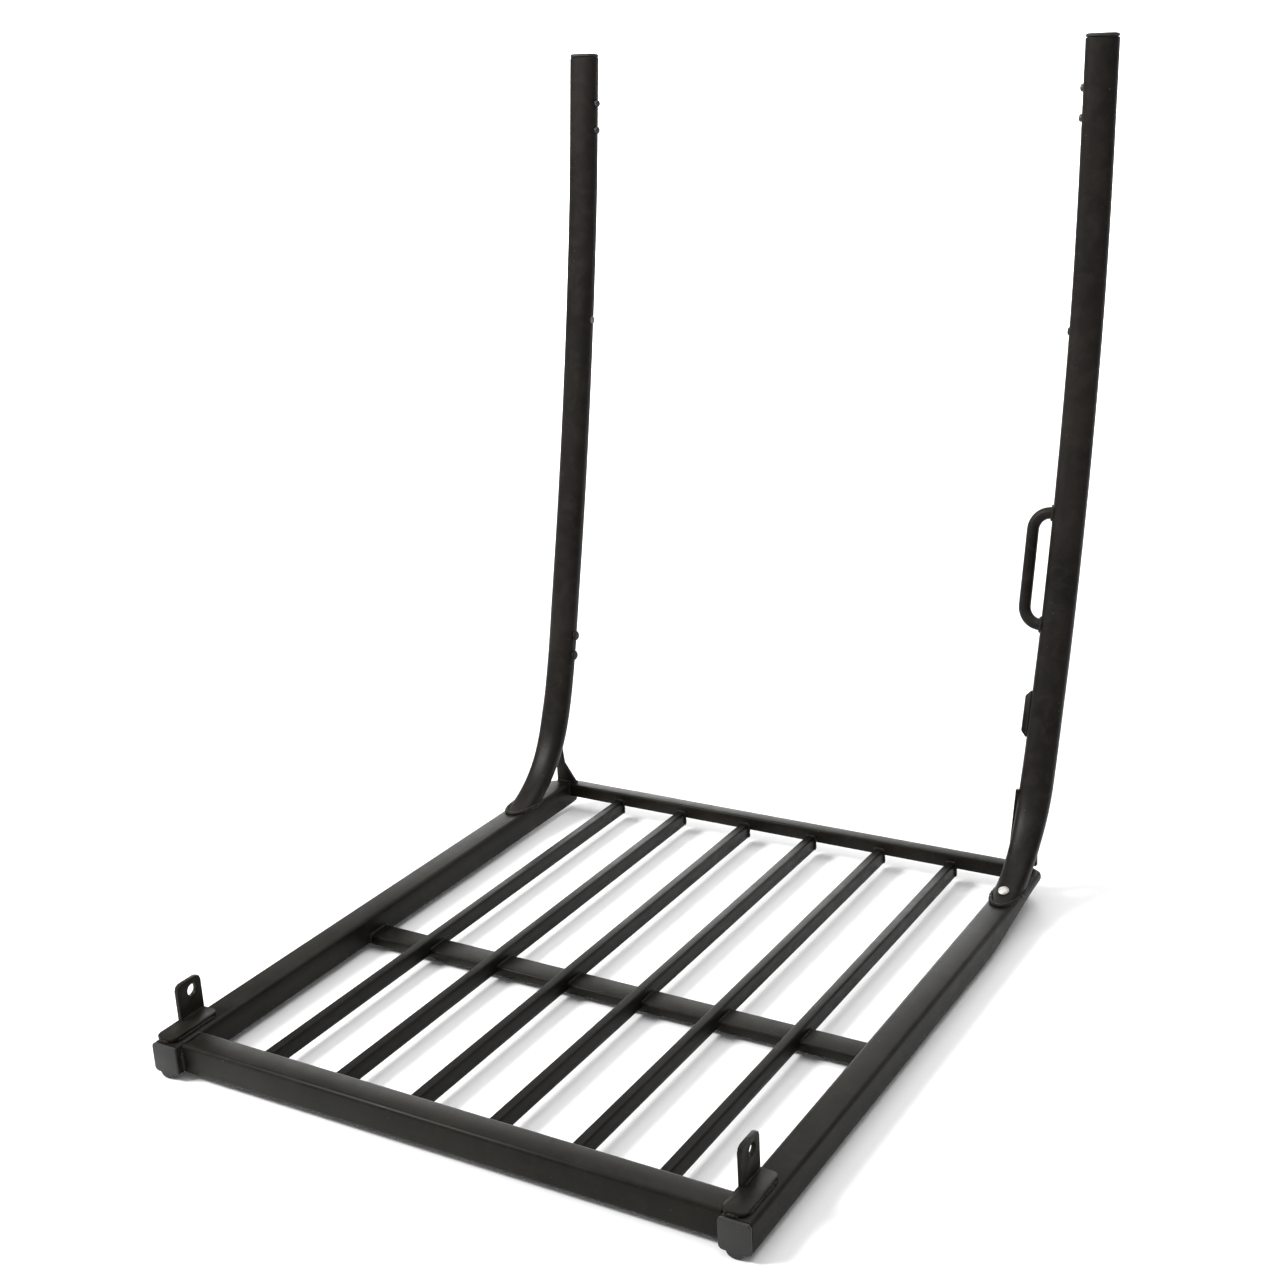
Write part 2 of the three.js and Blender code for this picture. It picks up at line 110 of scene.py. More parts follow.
def math_node(nt, op, a, b=None, clamp=False):
    n = nt.nodes.new("ShaderNodeMath")
    n.operation = op
    n.use_clamp = clamp
    for i, v in enumerate((a, b)):
        if v is None:
            continue
        if isinstance(v, (int, float)):
            n.inputs[i].default_value = v
        else:
            nt.links.new(v, n.inputs[i])
    return n.outputs[0]


def bump(nt, height, dist, strength=1.0, normal=None):
    n = nt.nodes.new("ShaderNodeBump")
    n.inputs["Distance"].default_value = dist
    n.inputs["Strength"].default_value = strength
    nt.links.new(height, n.inputs["Height"])
    if normal is not None:
        nt.links.new(normal, n.inputs["Normal"])
    return n.outputs[0]


def edge_mask(nt, radius):
    """White on convex and concave edges, from how far a rounded normal leaves the true one."""
    b = nt.nodes.new("ShaderNodeBevel")
    b.samples = 6
    b.inputs["Radius"].default_value = radius
    g = nt.nodes.new("ShaderNodeNewGeometry")
    d = nt.nodes.new("ShaderNodeVectorMath")
    d.operation = "DOT_PRODUCT"
    nt.links.new(b.outputs[0], d.inputs[0])
    nt.links.new(g.outputs["Normal"], d.inputs[1])
    return math_node(nt, "SUBTRACT", 1.0, d.outputs["Value"], True)


def powder_coat(name, dark, light, pale_dust_wear_and_highlight, peel=0.00006, edge_wear_and_highlight=1.0, weld=False):
    """Semi-matte powder coat: cloudy colour, orange peel, dust specks, and lighter edges that are partly rubbed wear
    and partly a painted highlight.
    """
    m, nt, bsdf = new_material(name)
    obj = nt.nodes.new("ShaderNodeTexCoord").outputs["Object"]
    cloud = noise(nt, obj, 11, 4, 0.6, 0.4)
    smear = noise(nt, obj, 70, 5, 0.62, 0.8)
    col = mix(nt, ramp(nt, cloud, [(0.34, (0, 0, 0)), (0.68, (1, 1, 1))]), dark, light)
    col = mix(nt, ramp(nt, smear, [(0.46, (0, 0, 0)), (0.72, (0.45, 0.45, 0.45))]), col, tuple(1.5 * c for c in light))
    # pale dust specks, thinly scattered
    vor = nt.nodes.new("ShaderNodeTexVoronoi")
    vor.inputs["Scale"].default_value = 210
    nt.links.new(obj, vor.inputs["Vector"])
    speck = math_node(nt, "MULTIPLY", ramp(nt, vor.outputs["Distance"], [(0.07, (1, 1, 1)), (0.15, (0, 0, 0))]),
                      ramp(nt, noise(nt, obj, 34, 2), [(0.58, (0, 0, 0)), (0.66, (1, 1, 1))]), True)
    col = mix(nt, math_node(nt, "MULTIPLY", speck, 0.5), col, pale_dust_wear_and_highlight)
    # lighter edges, broken up by noise: partly rubbed wear, partly a painted highlight along the edges
    lighter_edges = math_node(nt, "MULTIPLY", ramp(nt, edge_mask(nt, 0.0013), [(0.03, (0, 0, 0)), (0.2, (1, 1, 1))]),
                    ramp(nt, noise(nt, obj, 120, 6, 0.7), [(0.5, (0, 0, 0)), (0.64, (1, 1, 1))]), True)
    col = mix(nt, math_node(nt, "MULTIPLY", lighter_edges, 0.62 * edge_wear_and_highlight), col, pale_dust_wear_and_highlight)
    nt.links.new(col, bsdf.inputs["Base Color"])
    rough = math_node(nt, "ADD", math_node(nt, "MULTIPLY", smear, 0.26), 0.30)
    nt.links.new(math_node(nt, "SUBTRACT", rough, math_node(nt, "MULTIPLY", lighter_edges, 0.1), True), bsdf.inputs["Roughness"])
    bsdf.inputs["Metallic"].default_value = 0.0
    bsdf.inputs["Specular IOR Level"].default_value = 0.12
    n = bump(nt, noise(nt, obj, 620, 2, 0.5), peel, 0.9)
    n = bump(nt, noise(nt, obj, 2600, 2, 0.6), 0.00002, 0.6, n)
    if weld:
        n = bump(nt, noise(nt, obj, 320, 4, 0.65), 0.0003, 0.8, n)
    n = bump(nt, noise(nt, obj, 45, 3, 0.5), 0.0004, 0.35, n)
    nt.links.new(n, bsdf.inputs["Normal"])
    return m


def moulded(name, base):
    m, nt, bsdf = new_material(name)
    obj = nt.nodes.new("ShaderNodeTexCoord").outputs["Object"]
    c = noise(nt, obj, 90, 4, 0.6)
    col = mix(nt, ramp(nt, c, [(0.35, (0, 0, 0)), (0.75, (1, 1, 1))]), base, tuple(2.1 * v for v in base))
    lighter_edges = ramp(nt, edge_mask(nt, 0.0009), [(0.05, (0, 0, 0)), (0.3, (0.5, 0.5, 0.5))])
    col = mix(nt, lighter_edges, col, (0.06, 0.056, 0.05))
    nt.links.new(col, bsdf.inputs["Base Color"])
    nt.links.new(math_node(nt, "ADD", math_node(nt, "MULTIPLY", c, 0.2), 0.48), bsdf.inputs["Roughness"])
    nt.links.new(bump(nt, noise(nt, obj, 1500, 3, 0.6), 0.00005, 0.7), bsdf.inputs["Normal"])
    return m


def plated(name, a, b, rough):
    m, nt, bsdf = new_material(name)
    obj = nt.nodes.new("ShaderNodeTexCoord").outputs["Object"]
    c = noise(nt, obj, 260, 4, 0.6)
    nt.links.new(mix(nt, c, a, b), bsdf.inputs["Base Color"])
    bsdf.inputs["Metallic"].default_value = 1.0
    nt.links.new(math_node(nt, "ADD", math_node(nt, "MULTIPLY", c, 0.25), rough), bsdf.inputs["Roughness"])
    nt.links.new(bump(nt, noise(nt, obj, 1800, 3, 0.6), 0.00003, 0.7), bsdf.inputs["Normal"])
    return m


COAT = powder_coat("coat_frame", (0.0042, 0.0037, 0.0027), (0.0108, 0.0096, 0.0066), (0.085, 0.076, 0.06))
COAT_SLAT = powder_coat("coat_slat", (0.0034, 0.003, 0.0023), (0.008, 0.007, 0.0055), (0.06, 0.054, 0.044))
# The upright coat is a lighter copy of the frame coat: painted light standing in for the lit faces of the uprights.
COAT_UP_LIT = powder_coat("coat_upright_lit", (0.0052, 0.0043, 0.0036), (0.013, 0.0108, 0.009), (0.095, 0.084, 0.07), edge_wear_and_highlight=0.8)
COAT_WELD = powder_coat("coat_weld", (0.006, 0.0053, 0.0041), (0.0165, 0.0145, 0.011), (0.09, 0.08, 0.064), weld=True)
PLASTIC = moulded("end_cap_plastic", (0.005, 0.0047, 0.0042))
ZINC = plated("zinc_dulled", (0.1, 0.094, 0.085), (0.26, 0.245, 0.225), 0.4)
BRIGHT = plated("zinc_bright", (0.4, 0.39, 0.37), (0.64, 0.63, 0.6), 0.45)
SPRING = plated("spring_blued", (0.03, 0.03, 0.034), (0.09, 0.088, 0.085), 0.28)

# ------------------------------------------------------------------ mesh helpers
def smooth(me, angle=32):
    me.shade_smooth()
    me.set_sharp_from_angle(angle=math.radians(angle))


def to_object(name, bm, mat, body="frame", replaces=(), angle=32, fix=True):
    if fix:
        bmesh.ops.recalc_face_normals(bm, faces=bm.faces)
    me = bpy.data.meshes.new(name)
    bm.to_mesh(me)
    bm.free()
    me.materials.append(mat)
    smooth(me, angle)
    o = bpy.data.objects.new(name, me)
    bpy.context.scene.collection.objects.link(o)
    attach(o, body)
    if replaces:
        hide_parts(*replaces)
    return o


def tube_rings(bm, path, ring_at, closed=False, cap=True):
    """Skins rings of points along a path; ring_at(i) gives the points of ring i."""
    rings = [[bm.verts.new(p) for p in ring_at(i)] for i in range(len(path))]
    n = len(rings[0])
    pairs = list(zip(rings, rings[1:])) + ([(rings[-1], rings[0])] if closed else [])
    for a, b in pairs:
        for j in range(n):
            bm.faces.new((a[j], a[(j + 1) % n], b[(j + 1) % n], b[j]))
    if cap and not closed:
        bm.faces.new(rings[0][::-1])
        bm.faces.new(rings[-1])
    return rings


def frames(path, closed=False):
    """Tangent and two normals at each point, turned as little as possible along the path."""
    n = len(path)
    tan = []
    for i in range(n):
        a = path[(i - 1) % n] if closed or i else path[0]
        b = path[(i + 1) % n] if closed or i < n - 1 else path[-1]
        tan.append((b - a).normalized())
    up = Vector((0, 0, 1)) if abs(tan[0].z) < 0.8 else Vector((0, 1, 0))
    out = []
    for t in tan:
        side = t.cross(up)
        if side.length < 1e-6:
            side = t.orthogonal()
        side.normalize()
        up = side.cross(t).normalized()
        out.append((t, side, up))
    return out


def resample(path, step, closed=False):
    pts = list(path) + ([path[0]] if closed else [])
    length = sum((b - a).length for a, b in zip(pts, pts[1:]))
    n = max(int(length / step), 3)
    out, seg, acc = [], 0, 0.0
    for i in range(n if closed else n + 1):
        want = length * i / n
        while seg < len(pts) - 2 and acc + (pts[seg + 1] - pts[seg]).length < want - 1e-12:
            acc += (pts[seg + 1] - pts[seg]).length
            seg += 1
        d = (pts[seg + 1] - pts[seg]).length
        out.append(pts[seg].lerp(pts[seg + 1], (want - acc) / d if d else 0))
    return out


def add_bead(bm, path, r, closed=False, pitch=2.3, seed=0):
    """A rippled weld bead along a line, painted over: overlapping ripples, uneven width."""
    rng = random.Random(seed)
    pts = resample([Vector(p) for p in path], 0.0005, closed)
    if len(pts) < 4:
        return
    fr = frames(pts, closed)
    phase = rng.random()
    wob = [rng.uniform(-1, 1) for _ in range(64)]

    def ring(i):
        t, s, u = fr[i]
        d = i * 0.5 / pitch + phase
        saw = d - math.floor(d)
        k = 1 + 0.2 * math.sin(math.pi * saw) - 0.1 + 0.1 * wob[int(d) % 64]
        end = min(i, len(pts) - 1 - i) if not closed else 99
        k *= min(1.0, 0.45 + 0.14 * end)
        c = pts[i] + s * (0.12 * r * wob[(int(d) * 7) % 64])
        return [c + (s * math.cos(a) + u * math.sin(a)) * r * k for a in (2 * math.pi * j / 9 for j in range(9))]

    tube_rings(bm, pts, ring, closed)


def beads(name, runs, r=1.5):
    """One piece holding several weld runs; a run is (points, radius mm or None, closed)."""
    bm = bmesh.new()
    for k, run in enumerate(runs):
        pts, rr, closed = (list(run) + [None, False])[:3] if len(run) < 3 else run
        add_bead(bm, pts, (rr or r) * MM, closed, seed=hash_of(name) + k)
    return to_object(name, bm, COAT_WELD, angle=70)


def hash_of(s):
    return sum((i + 3) * ord(c) for i, c in enumerate(s)) % 9973


def carved(obj, cutters):
    """Cuts closed cutter meshes out of obj and leaves no modifier or cutter behind."""
    for bm in cutters:
        me = bpy.data.meshes.new("cutter")
        bm.to_mesh(me)
        bm.free()
        c = bpy.data.objects.new("cutter", me)
        bpy.context.scene.collection.objects.link(c)
        mod = obj.modifiers.new("cut", "BOOLEAN")
        mod.operation = "DIFFERENCE"
        mod.solver = "EXACT"
        mod.object = c
        bpy.context.view_layer.update()
        dg = bpy.context.evaluated_depsgraph_get()
        made = bpy.data.meshes.new_from_object(obj.evaluated_get(dg))
        obj.modifiers.clear()
        old = obj.data
        obj.data = made
        bpy.data.meshes.remove(old)
        bpy.data.objects.remove(c)
        bpy.data.meshes.remove(me)
    smooth(obj.data)
    obj.data.name = obj.name


def cylinder(centre, axis, r, depth, n=28):
    bm = bmesh.new()
    rot = Vector((0, 0, 1)).rotation_difference(Vector(axis)).to_matrix().to_4x4()
    bmesh.ops.create_cone(bm, cap_ends=True, segments=n, radius1=r, radius2=r, depth=depth, matrix=Matrix.Translation(centre) @ rot)
    return bm


# ------------------------------------------------------------------ carried-over CAD pieces
def dress(node, mat, bevel=0.35, angle=30):
    o = nodes[node]
    o.data.materials.clear()
    o.data.materials.append(mat)
    for p in o.data.polygons:
        p.material_index = 0
        p.use_smooth = True
    w = o.modifiers.new("weld", "WELD")
    w.merge_threshold = 0.00002
    if bevel:
        b = o.modifiers.new("bevel", "BEVEL")
        b.width = bevel * MM
        b.segments = 2
        b.limit_method = "ANGLE"
        b.angle_limit = math.radians(40)
        b.use_clamp_overlap = True
        b.harden_normals = False
    e = o.modifiers.new("split", "EDGE_SPLIT")
    e.split_angle = math.radians(angle)


for n in ("side_rail_left", "side_rail_right", "front_bar", "mid_crossbar", "back_crossbar"):
    dress(n, COAT, 0.3)
for i in range(1, 7):
    dress(f"slat_{i}", COAT_SLAT, 0.25)
for n in ("corner_gusset_left", "corner_gusset_right", "stop_tab", "front_ear_left", "front_ear_right"):
    dress(n, COAT, 0.45)
for n in ("front_cap_left", "front_cap_right", "rear_plug_left", "rear_plug_right", "upright_plug_left", "upright_plug_right"):
    dress(n, PLASTIC, 0.25)
for n in ("bolt_left_1", "bolt_left_2"):
    dress(n, COAT_WELD, 0.2)
dress("foot_bolt_right", BRIGHT, 0.2)
for n in ("rivet_left", "rivet_right"):
    dress(n, ZINC, 0.2)
for s in ("left", "right"):
    for i in (1, 2):
        dress(f"snap_button_{s}_{i}", SPRING, 0.2)
    dress(f"button_carrier_{s}", SPRING, 0.2)
    dress(f"leaf_spring_{s}", SPRING, 0.1)

# ------------------------------------------------------------------ uprights
UP_LEFT = [
    (438, 4.4), (463.6, 11), (487.3, 22.6), (505.5, 36.5), (520.1, 52.9), (530.3, 69.4),
    (538.4, 87.6), (545, 104.8), (557.3, 145.3), (572.3, 207), (596.4, 308.4),
    (617.9, 408.8), (636.9, 508.4), (653.4, 606.3), (671.2, 742.5)]
UP_RIGHT = [
    (447.1, 4.4), (472.7, 11), (496.4, 21.9), (514.7, 34.7), (529.5, 49.2), (541.5, 64.6),
    (551, 81.5), (558.6, 99), (570.5, 130.3), (583, 165.4), (601.2, 217.2), (617.6, 270.8),
    (636.9, 340.9), (657.4, 429.2), (673.8, 516.8), (684.9, 603.3), (690.9, 671.6),
    (696.4, 740.3)]


def hermite(points, step=3.2):
    """A smooth curve through (y, z) points, sampled about every step millimetres."""
    p = [Vector(q) for q in points]
    n = len(p)
    t = [0.0]
    for a, b in zip(p, p[1:]):
        t.append(t[-1] + (b - a).length)
    m = []
    for i in range(n):
        if i == 0:
            m.append((p[1] - p[0]) / (t[1] - t[0]))
        elif i == n - 1:
            m.append((p[-1] - p[-2]) / (t[-1] - t[-2]))
        else:
            h0, h1 = t[i] - t[i - 1], t[i + 1] - t[i]
            d0, d1 = (p[i] - p[i - 1]) / h0, (p[i + 1] - p[i]) / h1
            m.append((d0 * h1 + d1 * h0) / (h0 + h1))
    out = []
    for i in range(n - 1):
        h = t[i + 1] - t[i]
        k = max(int(h / step), 2)
        for j in range(k):
            s = j / k
            out.append(p[i] * (2 * s**3 - 3 * s**2 + 1) + m[i] * h * (s**3 - 2 * s**2 + s)
                       + p[i + 1] * (-2 * s**3 + 3 * s**2) + m[i + 1] * h * (s**3 - s**2))
    out.append(p[-1].copy())
    return out


def section(w, t, r, seg=8):
    pts = []
    for sx, sy, a0 in ((1, 1, 0), (-1, 1, 90), (-1, -1, 180), (1, -1, 270)):
        for i in range(seg + 1):
            a = math.radians(a0 + 90 * i / seg)
            pts.append((sx * (w / 2 - r) + r * math.cos(a), sy * (t / 2 - r) + r * math.sin(a)))
    return pts


def oval(w, t, e, n=40):
    """A rounded oval, between an ellipse (e = 2) and a box."""
    out = []
    for i in range(n):
        a = 2 * math.pi * (i + 0.5) / n
        c, q = math.cos(a), math.sin(a)
        out.append((math.copysign(w / 2 * abs(c) ** (2 / e), c), math.copysign(t / 2 * abs(q) ** (2 / e), q)))
    return out


def foot_width(z):
    """The upright narrows from 30 mm to the rail's 25 mm between heights 95 and 16 mm."""
    q = min(max((z - 16) / 79, 0.0), 1.0)
    return 1 - (5 / 30) * (1 - q * q * (3 - 2 * q))


class Upright:
    def __init__(self, side, points):
        self.side = side
        self.s = 1 if side == "right" else -1
        self.line = hermite(points)
        self.x = 257.8 * self.s

    def at(self, z):
        for a, b in zip(self.line, self.line[1:]):
            if b.y >= z:
                k = (z - a.y) / (b.y - a.y)
                return a.lerp(b, k), (b - a).normalized()
        return self.line[-1], (self.line[-1] - self.line[-2]).normalized()

    def face(self, z, off=0.0, across=0.0):
        """Point on the inner side at height z, off mm proud, across mm towards the back."""
        c, t = self.at(z)
        nrm = Vector((t.y, -t.x))
        return P(self.x - self.s * (15 + off), c.x + nrm.x * across, c.y + nrm.y * across)

    def build(self):
        line = self.line
        sec = oval(30, 18, 2.6)
        bm = bmesh.new()

        def ring(i):
            a = line[max(i - 1, 0)]
            b = line[min(i + 1, len(line) - 1)]
            t = (b - a).normalized()
            nrm = Vector((t.y, -t.x))
            # the tube narrows a touch through the tight part of its bend
            k = 1 - 0.02 * math.exp(-((line[i].y - 60) / 38) ** 2)
            return [P(self.x + u * (2 - k) * foot_width(line[i].y + nrm.y * v * k), line[i].x + nrm.x * v * k, line[i].y + nrm.y * v * k) for u, v in sec]

        tube_rings(bm, line, ring)
        bmesh.ops.recalc_face_normals(bm, faces=bm.faces)
        # rounded rim at the top
        cut_z = RAIL_TOP + 0.3 * MM
        geom = bm.verts[:] + bm.edges[:] + bm.faces[:]
        res = bmesh.ops.bisect_plane(bm, geom=geom, plane_co=(0, 0, cut_z), plane_no=(0, 0, 1), clear_inner=True)
        rim = [e for e in res["geom_cut"] if isinstance(e, bmesh.types.BMEdge)]
        loop = order_loop(rim)
        bmesh.ops.holes_fill(bm, edges=rim, sides=0)
        o = to_object(f"upright_{self.side}_tube", bm, COAT_UP_LIT, replaces=(f"upright_{self.side}",))
        # the tube is hollow, 1.6 mm in the wall, open at the top where the plug sits
        bore = [p for p in line if p.y > 60]
        bore.append(bore[-1] + (bore[-1] - bore[-2]).normalized() * 5)
        hollow = section(26.8, 14.8, 6.4, 7)
        inner = bmesh.new()

        def bore_ring(i):
            a = bore[max(i - 1, 0)]
            b = bore[min(i + 1, len(bore) - 1)]
            t = (b - a).normalized()
            nrm = Vector((t.y, -t.x))
            return [P(self.x + u * foot_width(bore[i].y), bore[i].x + nrm.x * v, bore[i].y + nrm.y * v) for u, v in hollow]

        tube_rings(inner, bore, bore_ring)
        bmesh.ops.recalc_face_normals(inner, faces=inner.faces)
        cutters = [inner]
        for z in (673.5, 699):
            cutters.append(cylinder(self.face(z), (1, 0, 0), 4.0 * MM, 9 * MM))
        if self.side == "right":
            lo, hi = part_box("foot_bolt_right")
            cutters.append(cylinder((lo + hi) / 2, (0, -0.418, 0.909), 2.85 * MM, 16 * MM))
        carved(o, cutters)
        top = o.modifiers.new("rim", "BEVEL")
        top.width = 0.45 * MM
        top.segments = 2
        top.limit_method = "ANGLE"
        top.angle_limit = math.radians(55)
        self.obj = o
        self.loop = loop


def order_loop(edges):
    """Ordered positions of the first closed loop in a set of edges."""
    left = set(edges)
    e = left.pop()
    pts = [e.verts[0], e.verts[1]]
    while True:
        nxt = next((k for k in left if pts[-1] in k.verts), None)
        if nxt is None:
            break
        left.discard(nxt)
        v = nxt.other_vert(pts[-1])
        if v is pts[0]:
            break
        pts.append(v)
    return [v.co.copy() for v in pts]


left = Upright("left", UP_LEFT)
right = Upright("right", UP_RIGHT)
for u in (left, right):
    u.build()
    foot = []
    for p in u.loop:
        x = p.x
        lim = 12.4 * MM
        cx = u.x * MM
        drop = 0.0
        if abs(x - cx) > lim:
            drop = (abs(x - cx) - lim) * 0.5
            x = cx + math.copysign(lim, x - cx)
        foot.append(Vector((x, p.y, RAIL_TOP + 0.6 * MM - drop)))
    beads(f"weld_foot_{u.side}", [(foot, 2.0, True)])

# ------------------------------------------------------------------ strap loop, round bar
def loop_piece():
    z0, z1, rod, reach, bend = 224.0, 334.0, 11.2, 17.6, 16.0
    a, b = z0 + rod / 2, z1 - rod / 2

    def at(z, d):
        c, _ = right.at(z)
        return P(257.8 - 15 - d, c.x, z)

    raw = [at(b, -1.5), at(b, reach - bend)]
    for i in range(1, 12):
        q = math.pi / 2 * i / 11
        raw.append(at(b - bend + bend * math.cos(q), reach - bend + bend * math.sin(q)))
    for i in range(1, 24):
        raw.append(at(b - bend + (a - b + 2 * bend) * i / 24, reach))
    for i in range(0, 12):
        q = math.pi / 2 * i / 11
        raw.append(at(a + bend - bend * math.sin(q), reach - bend + bend * math.cos(q)))
    raw.append(at(a, -1.5))
    pts = resample(raw, 0.0016)
    fr = frames(pts)
    bm = bmesh.new()

    def ring(i):
        t, s, u = fr[i]
        return [pts[i] + (s * math.cos(k) + u * math.sin(k)) * rod / 2 * MM for k in (2 * math.pi * j / 24 for j in range(24))]

    tube_rings(bm, pts, ring)
    to_object("strap_loop_bar", bm, COAT_UP_LIT, replaces=("strap_loop",))
    runs = []
    for z in (a, b):
        c, _ = right.at(z)
        ring_pts = []
        for j in range(28):
            k = 2 * math.pi * j / 28
            dy, dz = 6.3 * math.cos(k), 6.3 * math.sin(k)
            cc, _ = right.at(z + dz)
            off = 0.5 - max(0.0, abs(c.x + dy - cc.x) - 1.5) * 0.45
            ring_pts.append(P(257.8 - 15 - off, c.x + dy, z + dz))
        runs.append((ring_pts, 1.5, True))
    beads("weld_strap_loop", runs)


loop_piece()

# ------------------------------------------------------------------ weld runs
def span(a, b, n=12):
    return [Vector(a).lerp(Vector(b), i / n) for i in range(n + 1)]


def poly(*pts):
    out = []
    for a, b in zip(pts, pts[1:]):
        out += span(a, b, 6)[:-1]
    out.append(Vector(pts[-1]))
    return out


fb_lo, fb_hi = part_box("front_bar")
mb_lo, mb_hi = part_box("mid_crossbar")
bb_lo, bb_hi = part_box("back_crossbar")
runs = []
for s in (-1, 1):
    x = s * (RAIL_IN - 0.4 * MM)
    runs.append((poly((x, fb_lo.y - 0.2 * MM, fb_lo.z + 3 * MM), (x, fb_lo.y - 0.2 * MM, fb_hi.z - 3.4 * MM)), 1.9, False))
    runs.append((poly((x, fb_lo.y + 3.4 * MM, fb_hi.z), (x, fb_hi.y - 3.4 * MM, fb_hi.z)), 1.7, False))
    runs.append((poly((x, fb_hi.y, fb_hi.z - 3.4 * MM), (x, fb_hi.y, fb_lo.z + 3 * MM)), 1.9, False))
beads("weld_front_bar", runs)

runs = []
for s in (-1, 1):
    x = s * (RAIL_IN - 0.3 * MM)
    runs.append((poly((x, mb_lo.y - 0.1 * MM, mb_lo.z + 1 * MM), (x, mb_lo.y, mb_hi.z), (x, mb_hi.y, mb_hi.z), (x, mb_hi.y + 0.1 * MM, mb_lo.z + 1 * MM)), 1.6, False))
    runs.append((poly((x, bb_lo.y - 0.1 * MM, bb_lo.z + 1 * MM), (x, bb_lo.y, bb_hi.z - 0.4 * MM), (x, bb_hi.y - 0.8 * MM, bb_hi.z - 0.4 * MM)), 1.6, False))
beads("weld_crossbars", runs)

runs_front, runs_back, runs_mid = [], [], []
for i in range(1, 7):
    lo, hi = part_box(f"slat_{i}")
    for y, runs in ((lo.y, runs_front), (hi.y, runs_back)):
        runs.append((poly((lo.x, y, lo.z + 1 * MM), (lo.x, y, hi.z - 0.6 * MM), (lo.x + 0.8 * MM, y, hi.z),
                          (hi.x - 0.8 * MM, y, hi.z), (hi.x, y, hi.z - 0.6 * MM), (hi.x, y, lo.z + 1 * MM)), 1.35, False))
    for x in (lo.x, hi.x):
        runs_mid.append((poly((x, mb_lo.y + 0.5 * MM, mb_hi.z), (x, mb_hi.y - 0.5 * MM, mb_hi.z)), 1.35, False))
beads("weld_slats_front", runs_front)
beads("weld_slats_back", runs_back)
beads("weld_slats_mid", runs_mid)

runs = []
for side in ("left", "right"):
    lo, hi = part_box(f"front_ear_{side}")
    z = RAIL_TOP + 0.5 * MM
    runs.append((poly((hi.x, lo.y + 6 * MM, z), (hi.x, hi.y - 6 * MM, z)), 1.4, False))
    runs.append((poly((lo.x + 5 * MM, lo.y, z), (hi.x - 5 * MM, lo.y, z)), 1.5, False))
    runs.append((poly((lo.x + 1 * MM, hi.y, z), (hi.x - 5 * MM, hi.y, z)), 1.6, False))
    # inside corner between the ear and its foot
    runs.append((poly((lo.x + 4.1 * MM, hi.y - 26 * MM, z + 3.2 * MM), (lo.x + 4.1 * MM, hi.y - 1 * MM, z + 3.2 * MM)), 1.3, False))
beads("weld_ears", runs)

runs = []
for side, s in (("left", -1), ("right", 1)):
    lo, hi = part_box(f"corner_gusset_{side}")
    z = RAIL_TOP + 0.4 * MM
    x_in = (lo.x if s > 0 else hi.x)
    x_out = (hi.x if s > 0 else lo.x)
    xa = s * 243.6 * MM if side == "right" else x_in
    for y in (lo.y, hi.y):
        runs.append((poly((xa, y, z), (x_out, y, z)), 1.3, False))
beads("weld_back_corners", runs)

runs = []
for across in (-3.2, 3.2):
    runs.append(([right.face(z, 0.1, across) for z in (132, 141, 151, 161, 171)], 1.3, False))
beads("weld_stop_tab", runs)

# ------------------------------------------------------------------ stage, lights, camera
def floor():
    bm = bmesh.new()
    # a broad sweep that curves up far behind the object
    prof = [(-7.0, 0.0), (3.2, 0.0)]
    for i in range(1, 13):
        a = math.pi / 2 * i / 12
        prof.append((3.2 + 2.2 * math.sin(a), 2.2 * (1 - math.cos(a))))
    prof.append((5.4, 7.0))
    rows = [[bm.verts.new((x, y, z - 0.0003)) for y, z in prof] for x in (-9, 9)]
    for j in range(len(prof) - 1):
        bm.faces.new((rows[0][j], rows[1][j], rows[1][j + 1], rows[0][j + 1]))
    me = bpy.data.meshes.new("floor")
    bm.to_mesh(me)
    bm.free()
    me.shade_smooth()
    m, nt, bsdf = new_material("floor_paper")
    bsdf.inputs["Base Color"].default_value = (0.94, 0.94, 0.94, 1)
    bsdf.inputs["Roughness"].default_value = 0.9
    bsdf.inputs["Specular IOR Level"].default_value = 0.1
    me.materials.append(m)
    o = bpy.data.objects.new("floor", me)
    bpy.context.scene.collection.objects.link(o)


floor()


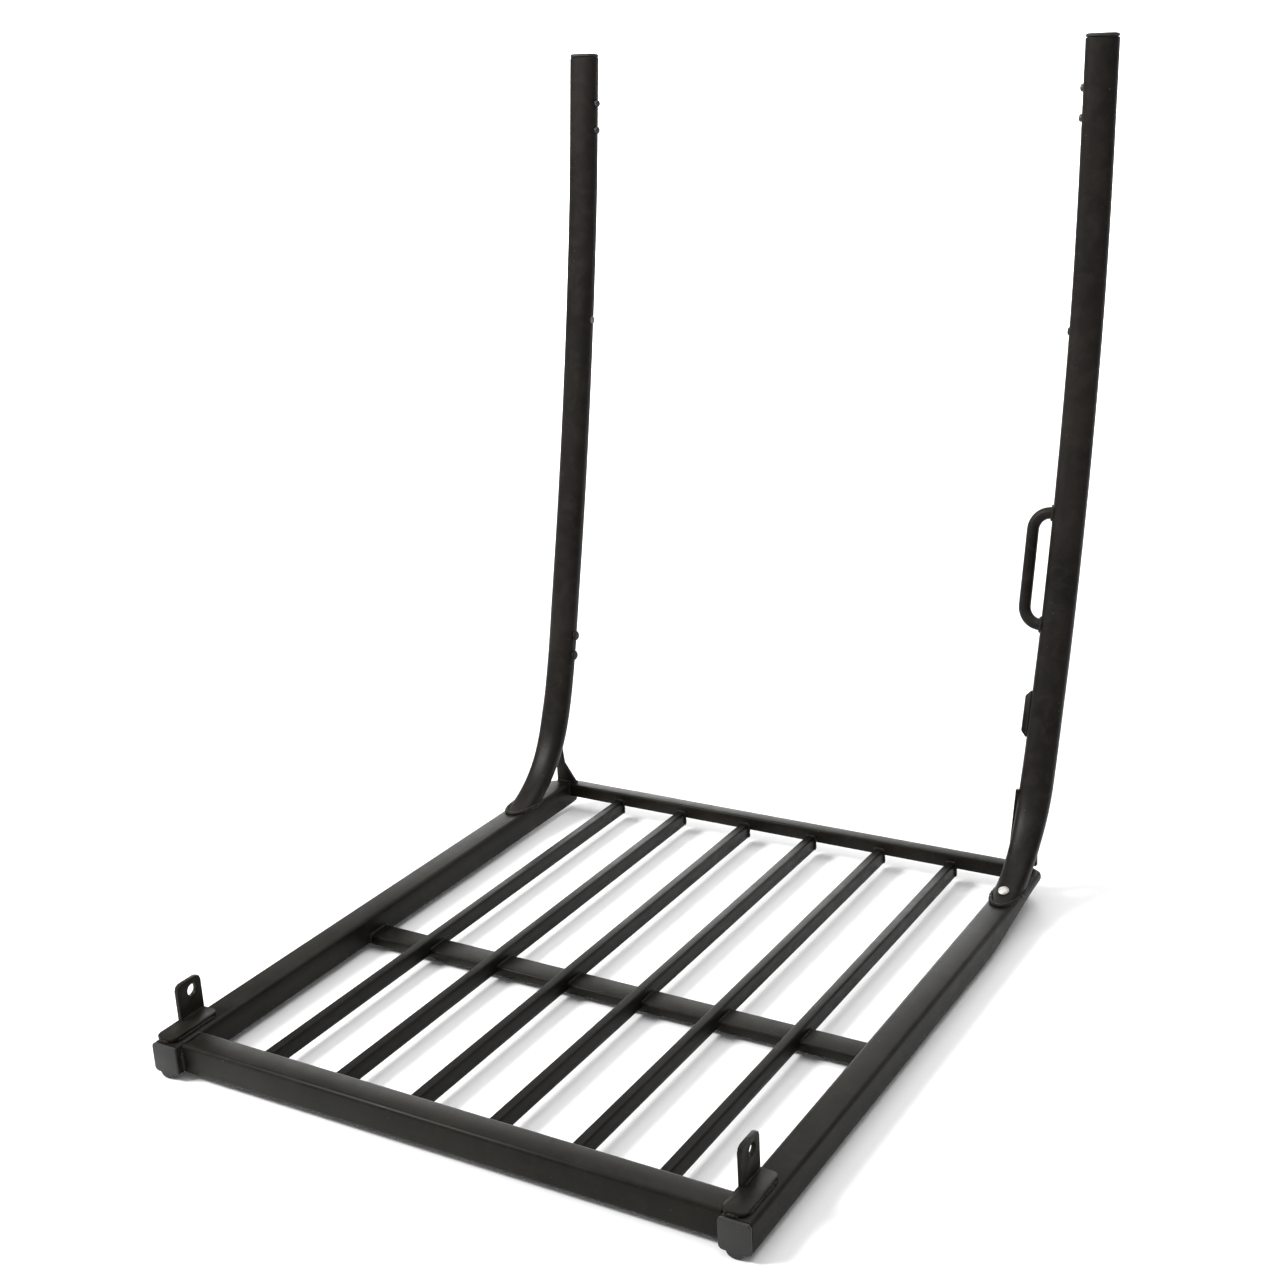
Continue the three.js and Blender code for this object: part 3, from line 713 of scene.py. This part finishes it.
def area(name, loc, target, size, power, colour=(1, 1, 1)):
    d = bpy.data.lights.new(name, "AREA")
    d.shape = "RECTANGLE"
    d.size, d.size_y = size
    d.energy = power
    d.color = colour
    o = bpy.data.objects.new(name, d)
    o.location = loc
    o.rotation_euler = (Vector(target) - Vector(loc)).to_track_quat("-Z", "Y").to_euler()
    bpy.context.scene.collection.objects.link(o)


area("key", (-1.9, -1.5, 2.4), (0, 0.05, 0.25), (0.9, 0.9), 115)
area("fill", (2.4, -1.0, 1.5), (0, 0, 0.3), (1.6, 1.6), 2)
area("top", (0.2, 0.6, 3.0), (0, 0, 0), (2.6, 2.6), 55)
area("backdrop", (-3.0, 3.2, 2.6), (-3.0, 5.0, 0.3), (5.0, 2.5), 420)

world = bpy.data.worlds.new("studio")
world.use_nodes = True
world.node_tree.nodes["Background"].inputs[0].default_value = (1, 1, 1, 1)
world.node_tree.nodes["Background"].inputs[1].default_value = 0.42
bpy.context.scene.world = world
bpy.context.scene.view_settings.view_transform = "Standard"
bpy.context.scene.view_settings.look = "None"

az, el, roll = (math.radians(v) for v in (31.3045, 18.4178, -3.0815))
fwd = Vector((-math.sin(az) * math.cos(el), math.cos(az) * math.cos(el), -math.sin(el)))
rgt = Vector((math.cos(az), math.sin(az), 0))
dwn = fwd.cross(rgt)
r2 = rgt * math.cos(roll) - dwn * math.sin(roll)
d2 = rgt * math.sin(roll) + dwn * math.cos(roll)
cam_data = bpy.data.cameras.new("camera")
cam_data.sensor_fit = "HORIZONTAL"
cam_data.sensor_width = 36.0
cam_data.lens = 1846 / 1280 * 36.0
cam_data.clip_start = 0.05
cam_data.clip_end = 50
cam = bpy.data.objects.new("camera", cam_data)
bpy.context.scene.collection.objects.link(cam)
loc = P((2.59121 - 0.5) * 365, -2.63375 * 365, 2.1135 * 365)
cam.matrix_world = Matrix((
    (r2.x, -d2.x, -fwd.x, loc.x),
    (r2.y, -d2.y, -fwd.y, loc.y),
    (r2.z, -d2.z, -fwd.z, loc.z),
    (0, 0, 0, 1)))
bpy.context.scene.camera = cam
